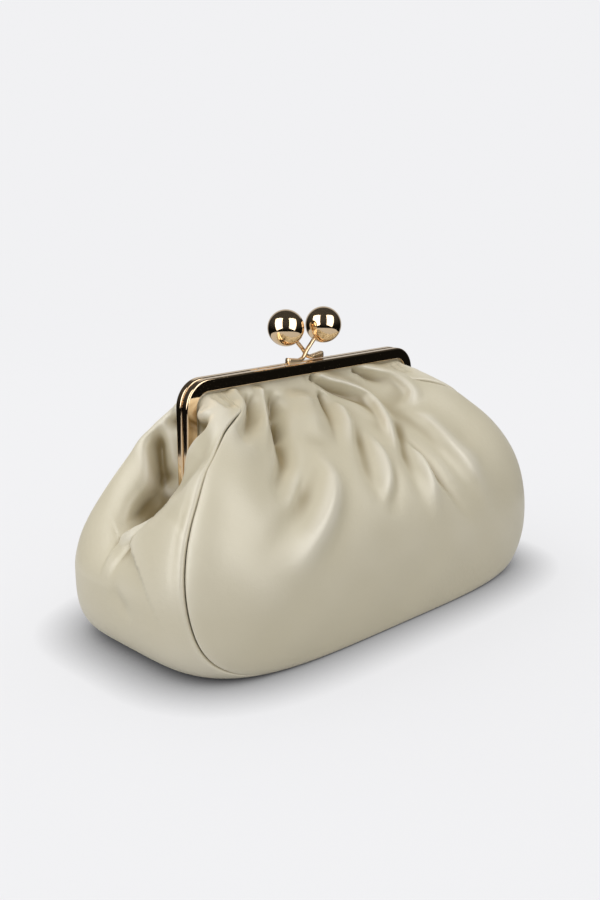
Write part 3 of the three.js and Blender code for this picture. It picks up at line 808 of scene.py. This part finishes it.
def channelSection():
    # closed outline of a channel: across is the inset from the outer edge, through runs outwards
    # from the middle plane
    f = frameSizes
    near, far = f["gap"] / 2, f["gap"] / 2 + f["thick"]
    r, s, e = f["edgeRound"], f["sheet"], f["lipRound"]
    face, keep = f["face"], f["flatKeep"]
    edgeSteps, lipSteps = f["edgeSteps"], f["lipSteps"]
    outer = np.vstack([
        roundCorner((face - e, near + e), e, 0, -90, lipSteps),
        [(face - e - keep, near), (r + keep, near)],
        roundCorner((r, near + r), r, 270, 180, edgeSteps),
        [(0, near + r + keep), (0, far - r - keep)],
        roundCorner((r, far - r), r, 180, 90, edgeSteps),
        [(r + keep, far), (face - e - keep, far)],
        roundCorner((face - e, far - e), e, 90, 0, lipSteps),
    ])
    inner = np.array([
        (face, far - s), (face - keep, far - s), (s + keep, far - s), (s, far - s - keep),
        (s, near + s + keep), (s + keep, near + s), (face - keep, near + s), (face, near + s),
    ])
    return np.vstack([outer, inner])


def frameLine(inset):
    # inverted U at an inset: up a leg, round a corner, along the bar and down again; a column per inset
    f = frameSizes
    inset = np.asarray(inset)[None, :]
    bar, rise = f["half"] - f["corner"], f["top"] - f["corner"]
    legs = np.linspace(f["legEnd"], rise, f["legSteps"])[:-1, None]
    turn = np.radians(np.linspace(0, 90, f["cornerSteps"]))[:, None]
    along = np.linspace(-bar, bar, f["barSteps"])[1:-1, None]
    radius = f["corner"] - inset
    left = [(-f["half"] + inset + 0 * legs, legs + 0 * inset),
            (-bar - radius * np.cos(turn), rise + radius * np.sin(turn))]
    middle = [(along + 0 * inset, rise + radius + 0 * along)]
    right = [(bar + radius * np.cos(turn[::-1]), rise + radius * np.sin(turn[::-1])),
             (f["half"] - inset + 0 * legs, legs[::-1] + 0 * inset)]
    pieces = left + middle + right
    return np.vstack([p[0] for p in pieces]), np.vstack([p[1] for p in pieces])


def sweepFaces(rows, columns):
    # quads of a closed section carried along a line, with a cap at each end
    r, c = np.meshgrid(np.arange(rows - 1), np.arange(columns), indexing="ij")
    a, b = r * columns + c, r * columns + (c + 1) % columns
    quads = np.stack([a, a + columns, b + columns, b], axis=-1).reshape(-1, 4).tolist()
    start = list(range(columns))
    return quads + [start, [(rows - 1) * columns + i for i in reversed(start)]]


def frameHalf(name, facing):
    # the section carried along the inverted U, in front of (-1) or behind (1) the middle plane
    section = channelSection()
    x, z = frameLine(section[:, 0])
    y = facing * section[None, :, 1] + 0 * x + frameSizes["back"]
    points = stack(x, y, z)
    faces = sweepFaces(*x.shape)
    if facing > 0:
        faces = [face[::-1] for face in faces]
    addPiece(name + "_channel", points.reshape(-1, 3), faces, gilt, name)


frameHalf("frame_front", -1)
frameHalf("frame_back", 1)

claspSizes = dict(
    ballRadius=9.75,
    ballAcross=11.8,
    ballForward=2.1,
    ballAbove=18.9,
    stemRadius=1.1,
    crossAbove=6.4,
    crossForward=1.65,
    footFrom=-15.0,
    footTo=-6.5,
    footWidth=3.4,
    footTall=3.5,  # at its outer end
    footLow=2.2,  # where the stem leaves it
    footClear=0.3,
    into=3.0,  # run of the stem inside the ball
    ballGrid=(97, 65),  # columns round a ball and rows down it
    footSteps=14,
    stemSteps=60,
    stemAround=33,
    bendAcross=-3.4,  # where the stem bends up out of its foot
    bendBack=0.25,
    bendAbove=1.3,
    tipShare=0.4,  # second guide of the stem, between the cross and its tip
    blendBack=0.8,  # the foot's square section goes over to the round one
    blendRun=4.0,
    squareFoot=4.0,
    roundStem=2.0,
)


def ballSurface(turn):
    # sphere by longitude and latitude
    c, f = claspSizes, frameSizes
    around = np.linspace(0, 2 * np.pi, c["ballGrid"][0])[None, :]
    up = np.linspace(np.pi / 2, -np.pi / 2, c["ballGrid"][1])[:, None]
    x = c["ballRadius"] * np.cos(up) * np.cos(around) + c["ballAcross"]
    y = c["ballRadius"] * np.cos(up) * np.sin(around) - c["ballForward"]
    z = c["ballRadius"] * np.sin(up) + f["top"] + c["ballAbove"] + 0 * around
    return stack(turn * x, turn * y + f["back"], z)


def armSurface(turn):
    # a bent bar: square in its foot on the frame, round in its stem, carried along a curve into the ball
    c, f = claspSizes, frameSizes
    bottom = f["top"] + c["footClear"]
    level = bottom + c["footLow"] / 2
    middle = -(f["gap"] + f["thick"]) / 2
    cross = np.array([0.0, -c["crossForward"], f["top"] + c["crossAbove"]])
    ball = np.array([c["ballAcross"], -c["ballForward"], f["top"] + c["ballAbove"]])
    tip = ball + (cross - ball) / np.linalg.norm(cross - ball) * (c["ballRadius"] - c["into"])
    foot = np.array([(c["footFrom"], middle, bottom + c["footTall"] / 2), (c["footTo"], middle, level)])
    bend = (c["bendAcross"], middle + c["bendBack"], level + c["bendAbove"])
    stem = smoothPath([foot[1], bend, cross, mix(cross, tip, c["tipShare"]), tip], c["stemSteps"])
    footLine = foot[0] + (foot[1] - foot[0]) * np.linspace(0, 1, c["footSteps"])[:-1, None]
    line = np.vstack([footLine, stem])
    tangent = unit(np.gradient(line, axis=0))
    side = unit(np.cross(tangent, np.array([0.0, 1.0, 0.0])))
    through = np.cross(side, tangent)
    x = line[:, 0]
    toStem = ease((x - c["footTo"] + c["blendBack"]) / c["blendRun"])[:, None]
    around = np.linspace(0, 2 * np.pi, c["stemAround"])[None, :-1]
    power = mix(c["squareFoot"], c["roundStem"], toStem)
    s, k = np.sin(around), np.cos(around)
    reach = (np.abs(s) ** power + np.abs(k) ** power) ** (-1 / power)
    alongFoot = np.clip((x - foot[0, 0]) / (foot[1, 0] - foot[0, 0]), 0, 1)
    footHigh = mix(c["footTall"], c["footLow"], alongFoot)[:, None]
    tall = mix(footHigh / 2, c["stemRadius"], toStem)
    wide = mix(c["footWidth"] / 2, c["stemRadius"], toStem)
    upward, outward = (tall * s * reach)[..., None], (wide * k * reach)[..., None]
    points = line[:, None] + side[:, None] * upward + through[:, None] * outward
    return points * np.array([turn, turn, 1.0]) + np.array([0, f["back"], 0])


for where, turn in (("front", 1.0), ("back", -1.0)):
    sphere = ballSurface(turn)
    points, quads, triangles, _ = weld(sphere.reshape(-1, 3), gridFaces(*sphere.shape[:2])[:, ::-1])
    ballFaces = quads.tolist() + triangles.tolist()
    addPiece("clasp_ball_" + where + "_polished", points, ballFaces, gilt,
             "clasp_ball_" + where)
    arm = armSurface(turn)
    armFaces = sweepFaces(*arm.shape[:2])
    addPiece("clasp_arm_" + where + "_stem", arm.reshape(-1, 3), armFaces, satinGilt,
             "clasp_arm_" + where)
for pin in ("hinge_rivet_left", "hinge_rivet_right"):
    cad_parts[pin].data.materials.clear()
    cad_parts[pin].data.materials.append(gilt)
print("metal made")

stageLook = dict(
    floorRadius=40.0,
    floorTone=0.72,
    floorHeight=-0.0002,
    floorBlue=1.018,
    tableRadius=0.42,
    tableCentre=(-0.12, -0.1),
    tableTone=0.55,
    tableHeight=-0.0003,
    tableBlue=1.005,
    discRings=9,
    discAround=129,
    glowFrom=0.35,
    glowTo=1.3,
    glow=0.879,
    glowShare=0.6,  # part of the floor's light that no shadow takes
    contact=0.028,  # reach of the shadow along the base
    contactSamples=16,
)


def discMesh(name, radius, centre, height, material):
    # flat disc: rings whose radius grows by the square
    rings, columns = stageLook["discRings"], stageLook["discAround"]
    turn = np.linspace(0, 2 * np.pi, columns)[None, :]
    ring = radius * np.linspace(0, 1, rings)[:, None] ** 2
    x, y = centre[0] + ring * np.cos(turn), centre[1] + ring * np.sin(turn)
    grid = stack(x, y, height + 0 * x).reshape(-1, 3) / mm
    points, quads, triangles, _ = weld(grid, gridFaces(rings, columns)[:, ::-1])
    mesh = bpy.data.meshes.new(name)
    mesh.from_pydata((points * mm).tolist(), [], quads.tolist() + triangles.tolist())
    mesh.materials.append(material)
    disc = bpy.data.objects.new(name, mesh)
    bpy.context.scene.collection.objects.link(disc)
    return disc


def paperMaterial(name, tone, blue):
    # plain matt paper
    material, tree, shader = newMaterial(name)
    shader.inputs["Base Color"].default_value = (tone, tone, tone * blue, 1)
    shader.inputs["Roughness"].default_value = 1.0
    shader.inputs["Specular IOR Level"].default_value = 0.0
    return material, tree, shader


def floorMaterial():
    # pale paper that glows as a lit backdrop does, more so far from the bag; the contact shadow takes
    # its share of the glow and of the paper's own tone
    look = stageLook
    tone, blue = look["floorTone"], look["floorBlue"]
    material, tree, shader = paperMaterial("paleFloor", tone, blue)
    place = addNode(tree, "TexCoord").outputs["Object"]
    length = addNode(tree, "VectorMath", [(0, place)], operation="LENGTH").outputs["Value"]
    reach = mapRange(tree, length, (look["glowFrom"], look["glowTo"]), (look["glowShare"], 1), smooth=True)
    contact = [("Distance", look["contact"])]
    shadow = addNode(tree, "AmbientOcclusion", contact, samples=look["contactSamples"]).outputs["AO"]
    shine = reckon(tree, "MULTIPLY", reach, shadow)
    shader.inputs["Emission Color"].default_value = [look["glow"] * c for c in (1, 1, blue)] + [1]
    tree.links.new(shine, shader.inputs["Emission Strength"])
    rest = reckon(tree, "SUBTRACT", shadow, shine)
    paper = mixColours(tree, rest, (0, 0, 0, 1), (tone, tone, tone * blue, 1))
    tree.links.new(paper, shader.inputs["Base Color"])
    return material


def makeStage():
    # the floor that is seen, and a small table top that lights the bag from below and shows in the metal
    look = stageLook
    floor = discMesh("floor", look["floorRadius"], (0, 0), look["floorHeight"], floorMaterial())
    floor.visible_diffuse = False
    floor.visible_glossy = False
    paper = paperMaterial("paleTable", look["tableTone"], look["tableBlue"])[0]
    table = discMesh("table_bounce", look["tableRadius"], look["tableCentre"], look["tableHeight"], paper)
    table.visible_camera = False


lightRig = dict(
    left=dict(turn=-52.0, rise=28.3, roll=25.7, reach=1.3, wide=1.1, tall=1.7, power=15.5),
    right=dict(turn=52.0, rise=28.3, roll=25.7, reach=1.3, wide=1.1, tall=1.7, power=14.0),
)
lightAim = (0, 0, 0.147)  # the clasp
worldLook = dict(
    seen=(0.879, 0.879, 0.895),
    softLeft=1.0,  # soft light from the camera's left, from its right, and what the zenith adds
    softRight=0.42,
    softTop=0.82,
    darkLow=0.006,  # reflections: a dark room, darkest low down, with a pale wall behind the bag
    darkHigh=0.055,
    darkFrom=-0.1,
    darkTo=0.5,
    pale=0.55,
    paleFrom=0.72,
    paleTo=0.9,
)


def makeLights():
    # two soft windows on either side of the camera, aimed at the clasp, each leaning outwards by its roll
    yaw = np.radians(photoCamera["yaw"])
    toCamera = Vector((-np.sin(yaw), -np.cos(yaw), 0))
    for name, light in lightRig.items():
        turn = -yaw + np.radians(light["turn"])
        rise, roll = np.radians(light["rise"]), np.radians(light["roll"])
        away = Vector((np.sin(turn) * np.cos(rise), -np.cos(turn) * np.cos(rise), np.sin(rise)))
        level = Vector((-away.y, away.x, 0)).normalized()
        if level.dot(toCamera) > 0:
            level = -level
        lift = away.cross(level)
        if lift.z < 0:
            lift = -lift
        tall = lift * np.cos(roll) + level * np.sin(roll)
        wide = tall.cross(away)
        data = bpy.data.lights.new("window_" + name, "AREA")
        data.shape = "RECTANGLE"
        data.size, data.size_y = light["wide"], light["tall"]
        data.energy = light["power"]
        lamp = bpy.data.objects.new("window_" + name, data)
        turned = Matrix((wide, tall, away)).transposed().to_4x4()
        lamp.matrix_world = Matrix.Translation(away * light["reach"] + Vector(lightAim)) @ turned
        lamp.visible_camera = False
        lamp.visible_diffuse = False
        bpy.context.scene.collection.objects.link(lamp)


def makeWorld():
    # pale where it is seen, soft light all round, and a dark room with a pale back wall in reflections
    look = worldLook
    world = bpy.data.worlds.new("studio")
    bpy.context.scene.world = world
    world.use_nodes = True
    tree = world.node_tree
    yaw = np.radians(photoCamera["yaw"])
    place = addNode(tree, "TexCoord").outputs["Generated"]
    headings = []
    for heading in ((np.sin(yaw), np.cos(yaw), 0), (-np.cos(yaw), np.sin(yaw), 0)):
        dot = addNode(tree, "VectorMath", [(0, place), (1, heading)], operation="DOT_PRODUCT")
        headings.append(dot.outputs["Value"])
    backward, leftward = headings
    upward = addNode(tree, "SeparateXYZ", [(0, place)]).outputs["Z"]
    wall = mapRange(tree, backward, (look["paleFrom"], look["paleTo"]), (0, look["pale"]), smooth=True)
    dark = mapRange(tree, upward, (look["darkFrom"], look["darkTo"]), (look["darkLow"], look["darkHigh"]))
    sides = mapRange(tree, leftward, (-1, 1), (look["softRight"], look["softLeft"]))
    top = mapRange(tree, upward, toRange=(0, look["softTop"]))
    soft, room = tree.nodes["Background"], addNode(tree, "Background")
    for light, first, second in ((soft, sides, top), (room, wall, dark)):
        light.inputs["Color"].default_value = (1, 1, 1, 1)
        tree.links.new(reckon(tree, "ADD", first, second), light.inputs["Strength"])
    seen = addNode(tree, "Background", [("Color", (*look["seen"], 1))]).outputs[0]
    rays = addNode(tree, "LightPath").outputs
    choices = (rays["Is Glossy Ray"], soft.outputs[0], room.outputs[0])
    lit = addNode(tree, "MixShader", enumerate(choices)).outputs[0]
    surface = addNode(tree, "MixShader", enumerate((rays["Is Camera Ray"], lit, seen))).outputs[0]
    tree.links.new(surface, tree.nodes["World Output"].inputs["Surface"])


def makeCamera():
    # stands off the frame's middle along the yaw, looks down by the pitch;
    # the lens is the focal pixels' share of the picture's long side
    c = photoCamera
    yaw, pitch = np.radians(c["yaw"]), np.radians(c["pitch"])
    data = bpy.data.cameras.new("photo_camera")
    data.sensor_width = c["sensor"]
    data.lens = c["focalPixels"] * c["sensor"] / c["imageTall"]
    data.shift_x = (c["imageWide"] / 2 - c["middleX"]) / c["imageTall"]
    camera = bpy.data.objects.new("photo_camera", data)
    aside, forward = -np.sin(yaw) * c["reach"], frameSizes["back"] - np.cos(yaw) * c["reach"]
    camera.location = (aside * mm, forward * mm, c["height"] * mm)
    camera.rotation_euler = (np.pi / 2 - pitch, 0, -yaw)
    bpy.context.scene.collection.objects.link(camera)
    bpy.context.scene.camera = camera


makeStage()
makeLights()
makeWorld()
makeCamera()
bpy.context.scene.view_settings.view_transform = "Standard"
print("stage, lights and camera set")
